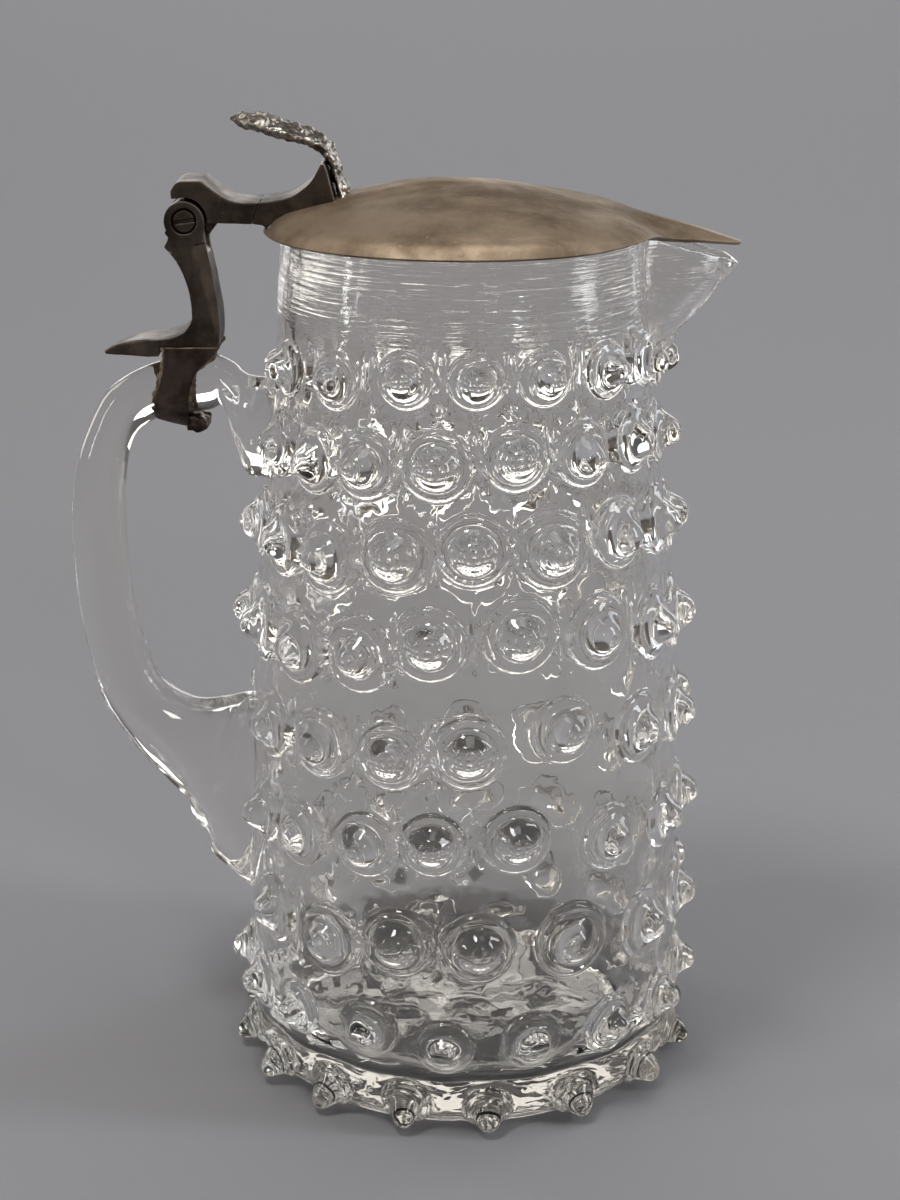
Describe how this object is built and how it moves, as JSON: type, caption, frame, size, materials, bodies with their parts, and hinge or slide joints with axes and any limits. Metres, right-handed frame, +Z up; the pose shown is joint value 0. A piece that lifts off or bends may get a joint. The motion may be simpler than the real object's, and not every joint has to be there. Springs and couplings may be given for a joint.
{
  "type": "claret jug",
  "caption": "Tall clear glass jug covered in rows of drawn knobs, with a glass handle and a beaked metal lid that swings on a hinge clamped to the handle.",
  "frame": {"origin": "on the jug's axis, at the flat base that stands on the table", "axes": "+Z up along the jug's axis, +X to the spout, -X to the handle, so -Y faces a viewer who sees the spout on the right"},
  "size_m": [0.1714, 0.1255, 0.2505],
  "materials": {
    "glass": "clear, fire-polished, slightly rippled",
    "lid_metal": "dull, finely brushed and spotted tin alloy",
    "hinge_metal": "dark tarnished tin alloy with rubbed edges",
    "relief_metal": "cast leaf relief, worn bright on the high places",
    "solder": "smeared soft solder",
    "strap_metal": "thin cast strap, dull, with brassy edges",
    "packing": "dry and ragged"
  },
  "bodies": {
    "jug": {"glass_body": "glass", "knobs_row_1": "glass", "knobs_row_2": "glass", "knobs_row_3": "glass", "knobs_row_4": "glass", "knobs_row_5": "glass", "knobs_row_6": "glass", "knobs_row_7": "glass", "knobs_row_8": "glass", "knobs_row_9": "glass", "glass_handle": "glass", "hinge_post": "hinge_metal", "hinge_pin": "hinge_metal", "strap_near": "strap_metal", "strap_far": "strap_metal", "clamp_packing": "packing"},
    "lid": {"lid_plate": "lid_metal", "hinge_arm": "hinge_metal", "arm_tang": "hinge_metal", "thumbpiece": "relief_metal", "tang_solder": "solder"}
  },
  "joints": [
    {"name": "lid_hinge", "type": "hinge", "parent": "jug", "child": "lid", "pos_m": [-0.0693, 0, 0.2248], "axis": [0, -1, 0], "range_deg": [0, 105]}
  ]
}
